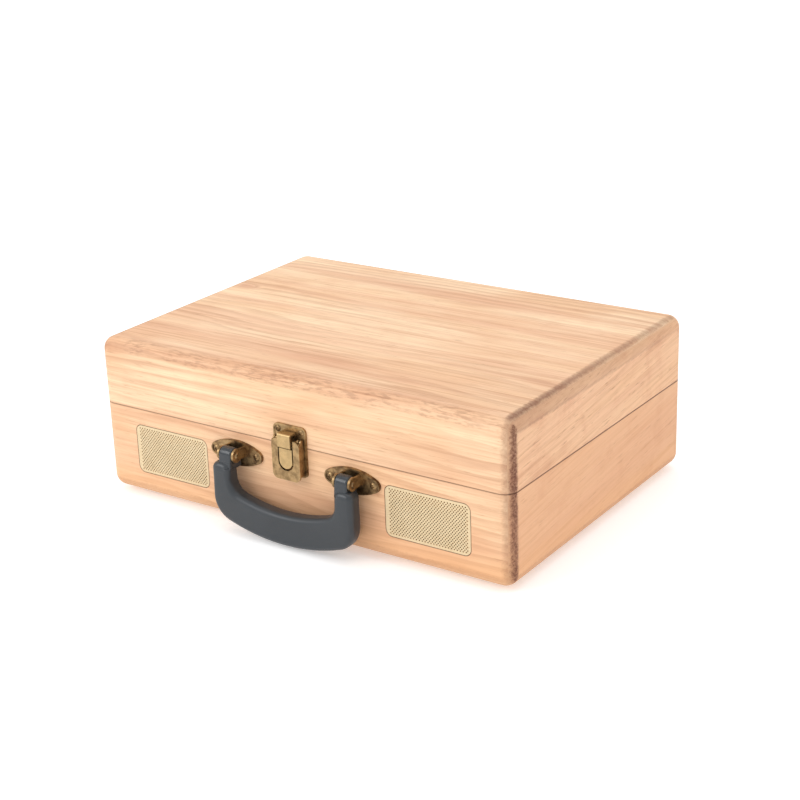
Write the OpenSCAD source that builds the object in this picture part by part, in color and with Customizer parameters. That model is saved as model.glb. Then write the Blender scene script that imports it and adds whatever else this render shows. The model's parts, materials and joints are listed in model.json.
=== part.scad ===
// Portable record player in a pine suitcase.
// Origin: middle of the case on the surface it stands on. X to the right, Y to the back, Z up.

/* [Case] */
// Width of the wooden case
case_w = 350; // [330:1:420]
// Depth of the wooden case, front to back
case_d = 251.5; // [245:0.5:320]
// Height of the lower shell
base_h = 68.2; // [66:0.1:90]
// Height of the lid shell
lid_h = 50.1; // [48:0.1:80]
// Rounding of every outer edge
edge_r = 9.5; // [4:0.5:9.5]
// Thickness of the side walls
wall = 10; // [9.5:0.5:12]
// Thickness of the case floor
floor_t = 6; // [4:0.5:8]
// Thickness of the lid's top
lid_top_t = 8; // [6:0.5:10]
// Rounding of the inner corners
inner_r = 4; // [2:0.5:8]
// Gap between the closed lid and the base
seam = 0.3; // [0.1:0.1:1]

/* [Feet] */
// Height of the rubber feet
foot_h = 3.5; // [2:0.5:8]
// Radius of the rubber feet
foot_r = 9; // [6:0.5:12]
// Distance from a foot's middle to the nearest case faces
foot_inset = 27; // [20:1:40]

/* [Grilles] */
// Width of a speaker grille
grille_w = 67; // [50:1:80]
// Height of a speaker grille
grille_h = 37; // [28:1:44]
// Corner rounding of a grille
grille_r = 5; // [3:0.5:9]
// Sheet thickness of a grille
grille_t = 1.2; // [0.8:0.1:2]
// Distance from the middle of the case to the middle of a grille
grille_x = 111; // [100:1:120]
// Height of the grilles' middle above the case's underside
grille_z = 37; // [30:1:40]
// Distance between neighbouring holes in a row
hole_pitch = 2.3; // [2:0.1:6]
// Distance between rows of holes
hole_row = 1.35; // [1.2:0.05:4]
// Radius of the holes
hole_r = 0.55; // [0.3:0.05:0.6]

/* [Handle] */
// Distance of the handle's middle to the right of the case's middle
handle_side = 1.5; // [-4:0.5:4]
// Distance from the handle's middle to a handle pivot
handle_x = 50; // [42:1:58]
// Height of the handle pivots above the case's underside
handle_z = 55; // [50:0.5:58]
// Distance from the front face to the handle's pivot axis
handle_out = 9.5; // [8:0.25:11]
// Overall width of the handle
handle_w = 121; // [104:1:132]
// Drop from the pivot axis to the bottom of the grip
handle_drop = 56.5; // [45:0.5:56.5]
// Height of the grip
grip_h = 24; // [18:0.5:28]
// Thickness of the grip and the arms
grip_t = 12.6; // [10:0.2:14]
// Distance from the pivot axis out to the middle of the grip's thickness
grip_offset = 2.5; // [1:0.25:4]
// Radius of the grip's bow along its underside
grip_bow = 148; // [120:2:300]
// Rounding of the grip's and the arms' edges
grip_soft = 4.2; // [2:0.2:4.8]
// Width of the two arms
arm_w = 15.4; // [12:0.2:18]
// Radius of the handle's lower corners
handle_corner_r = 14; // [11:1:18]
// Drop from the pivot axis to the shoulders of the arms
shoulder_drop = 6.6; // [6.2:0.2:9]
// Width of the lug at each end of the handle
lug_w = 10.4; // [9:0.2:12]
// Radius of the lugs around their pivot
lug_r = 5.6; // [4.5:0.1:5.8]
// Radius of the handle pins
handle_pin_r = 1.6; // [1:0.1:2.2]

/* [Handle brackets] */
// Length of a bracket plate
bracket_w = 46; // [42:1:50]
// Height of a bracket plate
bracket_h = 19; // [17:0.5:22]
// Radius of the plate's two ends
bracket_end_r = 5; // [4:0.25:6]
// Thickness of a bracket plate
bracket_t = 1.4; // [1:0.1:2]
// Thickness of the ears that hold the pin
ear_t = 1.7; // [1.2:0.1:2.5]
// Radius of the ears around the pin
ear_r = 5; // [4:0.25:5.5]
// Head radius of a bracket screw
bracket_head_r = 2.9; // [2.2:0.1:3.2]

/* [Latch] */
// Width of the two latch plates
latch_w = 28; // [24:0.5:36]
// Reach of the upper plate above the split
keeper_rise = 15; // [14:0.5:20]
// Reach of the lower plate below the split
plate_drop = 22; // [21:0.5:30]
// Thickness of the latch plates
latch_t = 1; // [0.8:0.1:1.2]
// Corner rounding of the latch plates
latch_corner_r = 4; // [2.5:0.5:6]
// Width of the raised rim around the upper plate
latch_rim = 1.2; // [0.8:0.1:2]
// Distance from the front face to the outside of the lever
latch_out = 7; // [6.8:0.1:9]
// Distance the keeper's hook stands out from the lever
hook_proud = 1.5; // [0:0.1:2]
// Height of the keeper's hook
hook_h = 10.6; // [9:0.2:12]
// Sheet thickness of the lever, hook and link
latch_sheet = 1.3; // [1:0.1:1.3]
// Width of the lever
lever_w = 23.8; // [22:0.2:26]
// Width of the window in the lever
window_w = 13; // [12:0.5:14]
// Width of the keeper's hook
hook_w = 10.8; // [9:0.2:11.4]
// Width of the link
link_w = 11; // [9:0.2:11.4]
// Radius of the two latch pins
latch_pin_r = 1; // [0.8:0.1:1.1]

/* [Hinges] */
// Distance from the middle of the case to the middle of a hinge
hinge_x = 105; // [80:1:120]
// Width of a hinge
hinge_w = 40; // [30:1:50]
// Height of each hinge leaf
leaf_h = 20; // [16:0.5:26]
// Thickness of a hinge leaf
leaf_t = 1.2; // [1:0.1:1.6]
// Outer radius of the hinge knuckles
knuckle_r = 2.6; // [2.4:0.1:3.2]
// Radius of the hinge pins
hinge_pin_r = 1.4; // [1.2:0.1:1.6]
// Number of knuckles in a hinge
knuckles = 5; // [3:2:7]

/* [Deck] */
// Depth of the deck's top below the rim of the base
deck_drop = 16.2; // [14:0.1:18]
// Thickness of the deck
deck_t = 3; // [2.5:0.5:4]
// Gap between the deck and the walls
deck_gap = 0.4; // [0.2:0.1:1]

/* [Platter] */
// Middle of the platter, from left to right
spindle_x = -28; // [-32:1:-20]
// Middle of the platter, from front to back
spindle_y = -4; // [-8:1:4]
// Radius of the platter
platter_r = 98; // [90:1:100]
// Height of the platter
platter_h = 10; // [8:0.5:10]
// Thickness of the platter's top
platter_t = 4; // [2.5:0.5:5]
// Thickness of the slip mat
mat_t = 2; // [1:0.5:3]
// Radius of the centre spindle where a record sits
spindle_r = 3.6; // [3.5:0.05:3.65]
// Radius of the spindle's shaft, up to the top of the mat
shaft_r = 4; // [3.8:0.1:4.5]
// Reach of the spindle above the mat
spindle_rise = 12.5; // [10:0.5:14]
// Outer radius of the rim that the belt runs on
belt_rim_r = 61; // [50:1:66]
// Radius of the motor pulley
pulley_r = 5; // [3:0.5:7]
// Thickness of the drive belt
belt_t = 0.8; // [0.6:0.1:1.2]
// Height of the drive belt
belt_h = 3.4; // [2.4:0.2:3.6]
// Distance from the spindle to the motor shaft
motor_dist = 74; // [72:1:80]
// Direction from the spindle to the motor shaft
motor_angle = 215; // [200:5:230]

/* [Tonearm] */
// Tonearm pivot, from left to right
arm_x = 122; // [116:1:126]
// Tonearm pivot, from front to back
arm_y = 84; // [80:1:86]
// Distance from the pivot to the stylus tip
arm_len = 185; // [180:1:190]
// Radius of the arm tube
arm_r = 3.6; // [3:0.1:4.5]
// Height of the arm tube's middle above the mat
arm_rise = 11.5; // [11:0.5:14]
// Angle between the headshell and the arm tube
head_angle = 24; // [18:1:28]
// Radius of the counterweight
weight_r = 10.5; // [8:0.5:11]
// Radius of the fixed arm pillar
pillar_r = 9; // [8:0.5:11]

/* [Fits] */
// Radial clearance of pins, shafts and screws in their holes
run = 0.05; // [0.02:0.01:0.1]
// Gap between parts that move past each other
gap = 0.3; // [0.2:0.05:0.5]

/* [Hidden] */
$fn = 64;

bronze = [0.42, 0.33, 0.20];
pine = [0.93, 0.78, 0.60];
charcoal = [0.17, 0.17, 0.18];
gold = [0.75, 0.68, 0.50];
steel = [0.72, 0.72, 0.74];
black = [0.08, 0.08, 0.08];

front = -case_d / 2;
back = case_d / 2;
under = foot_h;
split = under + base_h;
base_top = split - seam / 2;
lid_bottom = split + seam / 2;
lid_top = split + lid_h;
in_w = case_w - 2 * wall;
in_d = case_d - 2 * wall;

deck_top = split - deck_drop;
deck_under = deck_top - deck_t;
platter_top = split - 0.2;
platter_under = platter_top - platter_h;
mat_top = platter_top + mat_t;
belt_z = platter_under + 0.5;
bearing_top = deck_top + 2.5;
pulley_top = platter_top - platter_t - 0.7;

handle_y = front - handle_out;
handle_zc = under + handle_z;
bracket_zc = handle_zc - 2;
bracket_screw_x = bracket_w / 2 - bracket_end_r - 0.2;
grille_zc = under + grille_z;

// Height of the lever's pivot above the split, and of the link's below it
lever_pivot = 4.9;
link_pivot = 9.7;
latch_axis_out = 3.2;
// Outer radius of the rolled ends around the latch pins
roll_r = 1.9;
// Space left between the hook and the link while the latch is shut
hook_slack = 0.6;
latch_axis_y = front - latch_axis_out;
lever_axis_z = split + lever_pivot;
link_axis_z = split - link_pivot;
lever_face = front - latch_out;
lever_bottom = split - plate_drop - 1.7;
lever_top = lever_axis_z + 1.4;

hinge_y = back + knuckle_r + 0.2;
arm_z = mat_top + arm_rise;
tip_z = mat_top + 2;

// Flat outline with round corners
module rounded_rect(w, h, r) {
    square([w - 2 * r, h], center = true);
    square([w, h - 2 * r], center = true);
    for (x = [-1, 1], y = [-1, 1])
        translate([x * (w / 2 - r), y * (h / 2 - r)]) circle(r);
}

// Extrudes an outline drawn in Y and Z along X, centred on x = 0
module along_x(length) {
    rotate([90, 0, 90]) linear_extrude(length, center = true) children();
}

// Extrudes an outline drawn in X and Z outward from the front face, starting at depth from
module on_front(from, t) {
    translate([0, front - from, 0]) rotate([90, 0, 0]) linear_extrude(t) children();
}

// Extrudes an outline drawn in X and Z outward from the back face
module on_back(from, t) {
    translate([0, back + from + t, 0]) rotate([90, 0, 0]) linear_extrude(t) children();
}

// Block that is flat at z = 0 and rounded along its upright edges and round its top
module soft_half(w, d, h, r) {
    translate([0, 0, (h - r) / 2]) linear_extrude(h - r, center = true) rounded_rect(w, d, r);
    translate([0, 0, h / 2]) cube([w - 2 * r, d - 2 * r, h], center = true);
    for (y = [-1, 1])
        translate([0, y * (d / 2 - r), h - r]) rotate([0, 90, 0])
            cylinder(r = r, h = w - 2 * r, center = true);
    for (x = [-1, 1])
        translate([x * (w / 2 - r), 0, h - r]) rotate([90, 0, 0])
            cylinder(r = r, h = d - 2 * r, center = true);
    for (x = [-1, 1], y = [-1, 1])
        translate([x * (w / 2 - r), y * (d / 2 - r), h - r]) sphere(r);
}

// Wood screw along +Z: domed head above z = 0, shank below, cross recess in the head
module screw(head, shank, length) {
    dome = head * 0.55;
    difference() {
        union() {
            intersection() {
                translate([0, 0, dome - head * 1.25]) sphere(head * 1.25);
                cylinder(r = head, h = 3 * head);
            }
            translate([0, 0, -length]) cylinder(r = shank, h = length + 0.2);
        }
        for (a = [0, 90])
            rotate(a) translate([0, 0, dome]) cube([head * 1.1, head * 0.24, dome], center = true);
    }
}

// Places children at the screws of the latch's upper plate
module at_keeper_screws() {
    for (x = [-1, 1]) translate([x * (latch_w / 2 - 4), front, lid_bottom + keeper_rise - 4]) children();
}

// Places children at the screws of the latch's lower plate
module at_plate_screws() {
    for (x = [-1, 1]) translate([x * 6.5, front, split - plate_drop + 4]) children();
}

// Places children at the four screws of the handle brackets
module at_bracket_screws() {
    for (s = [-1, 1], x = [-1, 1])
        translate([handle_side + s * handle_x + x * bracket_screw_x, front, bracket_zc]) children();
}

// Places children at the screws of the hinge leaves, on one side of the split
module at_hinge_screws(side) {
    for (s = [-1, 1], x = [-1, 1])
        translate([s * hinge_x + x * hinge_w * 0.32, back, split + side * (leaf_h - 6)]) children();
}

// Places children at the four feet, at the case's underside
module at_feet() {
    for (x = [-1, 1], y = [-1, 1])
        translate([x * (case_w / 2 - foot_inset), y * (case_d / 2 - foot_inset), under]) children();
}

// Places children at the four deck screws
module at_deck_screws() {
    for (x = [-1, 1], y = [-1, 1])
        translate([x * (in_w / 2 - 6), y * (in_d / 2 - 8), deck_top]) children();
}

// Places children at the motor shaft, with z = 0 kept
module at_motor() {
    translate([spindle_x, spindle_y, 0]) rotate(motor_angle) translate([motor_dist, 0, 0]) children();
}

sound_h = deck_under - 1.5 - (grille_zc - grille_h / 2 + 3);
sound_z = deck_under - 1.5 - sound_h / 2;
panel_w = 92;
panel_h = 24;
panel_z = under + 24;
screw_r = 1.3;

module base_case() {
    color(pine) difference() {
        translate([0, 0, base_top]) mirror([0, 0, 1])
            soft_half(case_w, case_d, base_top - under, edge_r);
        translate([0, 0, under + floor_t]) linear_extrude(base_h) rounded_rect(in_w, in_d, inner_r);
        for (s = [-1, 1]) translate([s * grille_x, 0, grille_zc]) {
            on_front(-grille_t - run, wall)
                rounded_rect(grille_w + 2 * gap, grille_h + 2 * gap, grille_r + gap);
            translate([0, 0, sound_z - grille_zc]) on_front(-wall - 1, wall + 2)
                rounded_rect(grille_w - 8, sound_h, grille_r - 2);
        }
        translate([0, 0, panel_z]) {
            on_back(-1.6, 3) rounded_rect(panel_w + 2 * gap, panel_h + 2 * gap, 3 + gap);
            on_back(-wall - 1, wall + 2) rounded_rect(panel_w - 8, panel_h - 8, 2);
        }
        at_bracket_screws() rotate([-90, 0, 0]) cylinder(r = screw_r + run, h = 8);
        at_plate_screws() rotate([-90, 0, 0]) cylinder(r = screw_r + run, h = 8);
        at_hinge_screws(-1) rotate([90, 0, 0]) cylinder(r = screw_r + run, h = 8);
        at_feet() translate([0, 0, -1]) cylinder(r = screw_r + run, h = 6);
    }
}

module lid_case() {
    color(pine) difference() {
        translate([0, 0, lid_bottom]) soft_half(case_w, case_d, lid_top - lid_bottom, edge_r);
        translate([0, 0, split - 1]) linear_extrude(lid_h - lid_top_t + 1)
            rounded_rect(in_w, in_d, inner_r);
        at_keeper_screws() rotate([-90, 0, 0]) cylinder(r = screw_r + run, h = 8);
        at_hinge_screws(1) rotate([90, 0, 0]) cylinder(r = screw_r + run, h = 8);
    }
}

module feet() {
    color(black) at_feet() difference() {
        union() {
            translate([0, 0, -foot_h]) cylinder(r1 = foot_r - 1, r2 = foot_r - 0.4, h = 1);
            translate([0, 0, -foot_h + 1]) cylinder(r = foot_r - 0.4, h = foot_h - 1);
        }
        translate([0, 0, -foot_h - 1]) cylinder(r = 4, h = 2.6);
        translate([0, 0, -foot_h - 1]) cylinder(r = screw_r + run, h = foot_h + 2);
    }
}

module foot_screws() {
    color(steel) at_feet() translate([0, 0, 1.6 - foot_h]) mirror([0, 0, 1])
        screw(2.6, screw_r, foot_h + 3);
}

// Outline of one handle bracket plate: an oval with two round ends, smaller all round by inset
module bracket_outline(inset) {
    end_r = bracket_end_r - inset;
    end_x = bracket_w / 2 - bracket_end_r;
    h = bracket_h / 2 - inset;
    big = (end_x * end_x + h * h - end_r * end_r) / (2 * (h - end_r));
    touch_x = big * end_x / (big - end_r);
    for (x = [-1, 1]) translate([x * end_x, 0]) circle(end_r);
    intersection() {
        translate([0, h - big]) circle(big, $fn = 128);
        translate([0, big - h]) circle(big, $fn = 128);
        square([2 * touch_x, 2 * h], center = true);
    }
}

// Handle bracket: plate with a raised rim, two ears and the bore for the pin
module bracket(side) {
    ear_x = lug_w / 2 + gap + ear_t / 2;
    rim_h = 0.5;
    rim_out = 0.3;
    rim_in = 1.4;
    color(bronze) translate([handle_side + side * handle_x, 0, 0]) difference() {
        union() {
            translate([0, 0, bracket_zc]) {
                on_front(0, bracket_t) bracket_outline(0);
                on_front(bracket_t, rim_h) difference() {
                    bracket_outline(rim_out);
                    bracket_outline(rim_in);
                    for (x = [-1, 1]) translate([x * bracket_screw_x, 0]) circle(bracket_head_r + gap);
                }
            }
            for (x = [-1, 1]) translate([x * ear_x, 0, 0]) along_x(ear_t) {
                translate([handle_y, handle_zc]) circle(ear_r);
                translate([handle_y, handle_zc - ear_r * 0.8])
                    square([handle_out - bracket_t / 2, ear_r * 1.6]);
            }
        }
        for (x = [-1, 1]) translate([x * bracket_screw_x, front - 5, bracket_zc])
            rotate([-90, 0, 0]) cylinder(r = screw_r + run, h = 8);
        translate([0, handle_y, handle_zc]) rotate([0, 90, 0])
            cylinder(r = handle_pin_r + run, h = 3 * lug_w, center = true);
    }
}
module bracket_left() { bracket(-1); }
module bracket_right() { bracket(1); }

module bracket_screws() {
    color(bronze) at_bracket_screws()
        translate([0, -bracket_t, 0]) rotate([90, 0, 0]) screw(bracket_head_r, screw_r, 8);
}

// Places children at the two handle pivots, with +Z along the pins
module at_handle_pivots() {
    for (s = [-1, 1])
        translate([handle_side + s * handle_x, handle_y, handle_zc]) rotate([0, 90, 0]) children();
}

module handle_pins() {
    half = lug_w / 2 + gap + ear_t;
    head_h = 0.8;
    color(bronze) at_handle_pivots() {
        cylinder(r = handle_pin_r, h = 2 * half, center = true);
        for (m = [0, 1]) mirror([0, 0, m]) translate([0, 0, half])
            cylinder(r1 = handle_pin_r + head_h, r2 = handle_pin_r, h = head_h);
    }
}

// Moulded handle: bowed grip, two arms and two lugs
module handle() {
    mid_y = handle_y - grip_offset;
    bottom = handle_zc - handle_drop;
    shoulder = handle_zc - shoulder_drop;
    half_t = grip_t / 2;
    bow_r = grip_bow - grip_h / 2;
    span = asin((handle_w / 2 - handle_corner_r) / (grip_bow - handle_corner_r));
    corner_z = bottom + grip_bow - (grip_bow - handle_corner_r) * cos(span);
    color(charcoal) difference() {
        translate([handle_side, 0, 0]) {
            translate([0, mid_y, bottom + grip_bow]) rotate([90, 0, 0]) rotate([0, 0, -90 - span])
                rotate_extrude(angle = 2 * span, $fn = 256)
                    translate([bow_r, 0]) rounded_rect(grip_h, grip_t, grip_soft);
            for (s = [-1, 1]) scale([s, 1, 1]) {
                hull() {
                    translate([handle_w / 2 - handle_corner_r, mid_y, corner_z])
                        scale([handle_corner_r, half_t, handle_corner_r]) sphere(1, $fn = 32);
                    translate([handle_w / 2 - arm_w / 2, mid_y, shoulder - 1]) linear_extrude(1)
                        rounded_rect(arm_w, grip_t, grip_soft, $fn = 32);
                }
                translate([handle_x, handle_y, handle_zc]) rotate([0, 90, 0])
                    cylinder(r = lug_r, h = lug_w, center = true);
                hull() {
                    translate([handle_x, handle_y, handle_zc]) rotate([0, 90, 0])
                        cylinder(r = lug_r - 0.2, h = lug_w - 0.4, center = true, $fn = 32);
                    translate([handle_x, handle_y - 1.5, shoulder - 2]) linear_extrude(1)
                        rounded_rect(lug_w, 10, 2, $fn = 32);
                }
            }
        }
        at_handle_pivots() cylinder(r = handle_pin_r + run, h = lug_w + 20, center = true);
    }
}

// Upper latch plate with its hook, on the lid: the hook is a bent loop of sheet
module latch_keeper() {
    zc = lid_bottom + keeper_rise / 2;
    rim_h = 0.4;
    hook_d = latch_out + hook_proud - latch_t / 2;
    hook_mid = [front - latch_out - hook_proud + hook_d / 2, lid_bottom + hook_h / 2];
    color(bronze) difference() {
        union() {
            translate([0, 0, zc]) {
                on_front(0, latch_t) plate_outline(keeper_rise, 1, 0);
                on_front(latch_t, rim_h) difference() {
                    plate_outline(keeper_rise, 1, 0);
                    plate_outline(keeper_rise, 1, latch_rim);
                }
            }
            along_x(hook_w) translate(hook_mid) difference() {
                rounded_rect(hook_d, hook_h, latch_sheet);
                rounded_rect(hook_d - 2 * latch_sheet, hook_h - 2 * latch_sheet, latch_sheet / 3);
            }
        }
        at_keeper_screws() translate([0, -3, 0]) rotate([-90, 0, 0]) cylinder(r = screw_r + run, h = 4);
    }
}

// Latch plate outline with round corners on one side only: up is 1 for the top, -1 for the bottom.
// It is smaller by inset, except along its square side
module plate_outline(h, up, inset) {
    w = latch_w - 2 * inset;
    translate([0, -up * inset / 2]) rounded_rect(w, h - inset, latch_corner_r - inset);
    translate([0, -up * h / 4]) square([w, h / 2], center = true);
}

module keeper_screws() {
    color(bronze) at_keeper_screws() translate([0, -latch_t, 0]) rotate([90, 0, 0])
        screw(2.3, screw_r, 8);
}

// Lower latch plate with the two ears that carry the lever
module latch_plate() {
    ear_w = 1.2;
    ear_x = window_w / 2 + 2.5;
    foot_z = base_top - 7;
    color(bronze) difference() {
        union() {
            translate([0, 0, base_top - plate_drop / 2]) on_front(0, latch_t)
                plate_outline(plate_drop, -1, 0);
            for (s = [-1, 1]) translate([s * ear_x, 0, 0]) along_x(ear_w) {
                translate([latch_axis_y, lever_axis_z]) circle(roll_r);
                translate([latch_axis_y - roll_r, foot_z]) square([2 * roll_r, lever_axis_z - foot_z]);
                translate([latch_axis_y, foot_z])
                    square([latch_axis_out - latch_t / 2, base_top - foot_z - 0.4]);
            }
        }
        at_plate_screws() translate([0, -3, 0]) rotate([-90, 0, 0]) cylinder(r = screw_r + run, h = 4);
        along_latch_pin(lever_axis_z) cylinder(r = latch_pin_r + run, h = 2 * latch_w, center = true);
    }
}

// Turns children so that +Z runs along a latch pin at height z
module along_latch_pin(z) {
    translate([0, latch_axis_y, z]) rotate([0, 90, 0]) children();
}

module plate_screws() {
    color(bronze) at_plate_screws() translate([0, -latch_t, 0]) rotate([90, 0, 0])
        screw(2, screw_r, 8);
}

// Latch lever: a frame with an open-topped window and two side flanges
module latch_lever() {
    h = lever_top - lever_bottom;
    flange_w = 1.2;
    flange_x = (lever_w - flange_w) / 2;
    flange_inset = 0.4;
    flange_z = lever_bottom + 4;
    window_bottom = link_axis_z - 7;
    color(bronze) difference() {
        union() {
            translate([0, 0, lever_bottom + h / 2]) on_front(latch_out - latch_sheet, latch_sheet)
                rounded_rect(lever_w, h, 4.6);
            for (s = [-1, 1]) translate([s * flange_x, 0, 0]) along_x(flange_w) {
                translate([latch_axis_y, lever_axis_z]) circle(roll_r);
                translate([lever_face + flange_inset, flange_z])
                    square([latch_out - flange_inset - 1.3, lever_axis_z - flange_z]);
            }
        }
        translate([0, 0, window_bottom + window_w / 2]) on_front(latch_out - latch_sheet - 1, latch_sheet + 2) {
            circle(window_w / 2);
            translate([0, 2 * window_w]) square([window_w, 4 * window_w], center = true);
        }
        for (z = [lever_axis_z, link_axis_z])
            along_latch_pin(z) cylinder(r = latch_pin_r + run, h = 2 * lever_w, center = true);
    }
}

module lever_pin() {
    color(bronze) along_latch_pin(lever_axis_z)
        for (s = [-1, 1]) translate([0, 0, s * (lever_w + window_w) / 4])
            cylinder(r = latch_pin_r, h = (lever_w - window_w) / 2, center = true);
}

// Link that draws the keeper down, hung on the lever
module latch_link() {
    top = lid_bottom - hook_slack;
    bottom = link_axis_z - 5.5;
    round_z = bottom + link_w / 2;
    ear_w = 1.4;
    ear_r = roll_r + 0.2;
    ear_x = (link_w - ear_w) / 2;
    ear_y = lever_face + 0.4;
    color(bronze) difference() {
        union() {
            on_front(latch_out - latch_sheet, latch_sheet) {
                translate([0, round_z]) circle(link_w / 2);
                translate([-link_w / 2, round_z]) square([link_w, top - round_z]);
            }
            for (s = [-1, 1]) translate([s * ear_x, 0, 0]) along_x(ear_w) {
                translate([latch_axis_y, link_axis_z]) circle(ear_r);
                translate([ear_y, link_axis_z - ear_r]) square([latch_axis_y - ear_y, 2 * ear_r]);
            }
        }
        along_latch_pin(link_axis_z) cylinder(r = latch_pin_r + run, h = 2 * link_w, center = true);
    }
}

module link_pin() {
    color(bronze) along_latch_pin(link_axis_z) cylinder(r = latch_pin_r, h = lever_w, center = true);
}

// Knuckle length and the list of knuckles on one leaf: parity 0 for the base, 1 for the lid
knuckle_l = hinge_w / knuckles;
module knuckle_span(parity, shrink) {
    for (i = [0 : knuckles - 1])
        if (i % 2 == parity)
            translate([(i - (knuckles - 1) / 2) * knuckle_l, 0, 0]) along_x(knuckle_l - shrink) children();
}

// One pair of hinge leaves: side is -1 for the base and 1 for the lid
module hinge_leaves(side, parity) {
    color(bronze) difference() {
        for (s = [-1, 1]) translate([s * hinge_x, 0, 0]) {
            translate([0, 0, split + side * (leaf_h / 2 + 1.6)])
                on_back(0, leaf_t) rounded_rect(hinge_w, leaf_h - 3.2, 2);
            knuckle_span(parity, gap) {
                translate([hinge_y, split]) circle(knuckle_r);
                translate([back, split + (side < 0 ? -6 : 0)]) square([leaf_t, 6]);
                translate([back + 0.2, split + (side < 0 ? -2.4 : 0)]) square([knuckle_r, 2.4]);
            }
        }
        at_hinge_screws(side) translate([0, 3, 0]) rotate([90, 0, 0]) cylinder(r = screw_r + run, h = 4);
        translate([0, hinge_y, split]) rotate([0, 90, 0])
            cylinder(r = hinge_pin_r + run, h = case_w, center = true);
    }
}
module hinge_base_leaves() { hinge_leaves(-1, 0); }
module hinge_lid_leaves() { hinge_leaves(1, 1); }

module hinge_pins() {
    color(bronze) for (s = [-1, 1]) translate([s * hinge_x, hinge_y, split]) rotate([0, 90, 0]) {
        cylinder(r = hinge_pin_r, h = hinge_w + 0.8, center = true);
        for (m = [0, 1]) mirror([0, 0, m]) translate([0, 0, hinge_w / 2 + 0.1])
            cylinder(r1 = knuckle_r - 0.2, r2 = knuckle_r - 0.9, h = 0.8);
    }
}

module hinge_base_screws() {
    color(bronze) at_hinge_screws(-1) translate([0, leaf_t, 0]) rotate([-90, 0, 0])
        screw(2.3, screw_r, 8);
}

module hinge_lid_screws() {
    color(bronze) at_hinge_screws(1) translate([0, leaf_t, 0]) rotate([-90, 0, 0])
        screw(2.3, screw_r, 8);
}

// Perforated speaker grille: staggered rows of round holes inside a plain border
module grille(side) {
    border = 1.6;
    cols = floor((grille_w - 2 * border) / hole_pitch / 2);
    rows = floor((grille_h - 2 * border) / hole_row / 2);
    color(gold) translate([side * grille_x, 0, grille_zc]) on_front(-grille_t, grille_t) difference() {
        rounded_rect(grille_w, grille_h, grille_r);
        for (j = [-rows : rows], i = [-cols : cols]) {
            x = (i + (j % 2 == 0 ? 0 : 0.5)) * hole_pitch;
            z = j * hole_row;
            cx = max(abs(x) - (grille_w / 2 - grille_r), 0);
            cz = max(abs(z) - (grille_h / 2 - grille_r), 0);
            if (abs(x) < grille_w / 2 - border - hole_r + 0.01
                && norm([cx, cz]) < grille_r - border - hole_r + 0.2)
                translate([x, z]) circle(hole_r);
        }
    }
}
module grille_left() { grille(-1); }
module grille_right() { grille(1); }

// Racetrack loudspeaker: frame, basket, cone and magnet
module speaker(side) {
    w = grille_w - 2;
    h = sound_h + 8;
    color(steel) translate([side * grille_x, front + wall, sound_z - 3]) rotate([-90, 0, 0]) {
        difference() {
            union() {
                linear_extrude(1.5) rounded_rect(w, h, 6);
                linear_extrude(8) rounded_rect(w - 6, h - 4, h / 2 - 2.1);
            }
            translate([0, 0, -1]) linear_extrude(1.8) rounded_rect(w - 10, h - 8, h / 2 - 4.1);
            translate([0, 0, 0.7]) cylinder(r1 = h / 2 - 5, r2 = 7, h = 6);
        }
        translate([0, 0, 8]) cylinder(r = 13, h = 8);
        translate([0, 0, 3.6]) cylinder(r = 5, h = 4.5);
    }
}
module speaker_left() { speaker(-1); }
module speaker_right() { speaker(1); }

knob_x = -in_w / 2 + 26;
knob_y = -in_d / 2 + 30;
jack_x = -grille_x + 42;
jack_y = -in_d / 2 + 12;
adapter_x = -in_w / 2 + 27;
adapter_y = in_d / 2 - 24;
slider_x = in_w / 2 - 17;
speed_y = -8;
stop_y = -42;
cue_x = arm_x + 27;
cue_y = arm_y - 32;
plat_y = arm_y - 26;

module deck() {
    color(black) difference() {
        union() {
            translate([0, 0, deck_under]) linear_extrude(deck_t)
                rounded_rect(in_w - 2 * deck_gap, in_d - 2 * deck_gap, inner_r - deck_gap);
            translate([adapter_x, adapter_y, deck_top]) cylinder(r = spindle_r, h = 4);
        }
        translate([0, 0, deck_under - 1]) {
            translate([spindle_x, spindle_y, 0]) cylinder(r = 6.5 + run, h = 9);
            at_motor() cylinder(r = 8, h = 9);
            translate([arm_x, arm_y, 0]) cylinder(r = 5 + run, h = 9);
            translate([knob_x, knob_y, 0]) cylinder(r = 3.5 + run, h = 9);
            translate([jack_x, jack_y, 0]) cylinder(r = 4 + run, h = 9);
            translate([arm_x, plat_y, 0]) cylinder(r = 3 + run, h = 9);
            translate([slider_x, speed_y, 0]) linear_extrude(9) square([3.4, 22], center = true);
            translate([slider_x, stop_y, 0]) linear_extrude(9) square([3.4, 14], center = true);
        }
        at_deck_screws() translate([0, 0, -8]) cylinder(r = screw_r + run, h = 12);
    }
}

module deck_battens() {
    color(pine) for (s = [-1, 1]) difference() {
        translate([s * (in_w / 2 - 6), 0, deck_under - 6]) cube([12, in_d - 2 * inner_r, 12], center = true);
        at_deck_screws() translate([0, 0, -20]) cylinder(r = screw_r + run, h = 24);
    }
}

module deck_screws() {
    color(black) at_deck_screws() screw(2.8, screw_r, 12);
}

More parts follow.
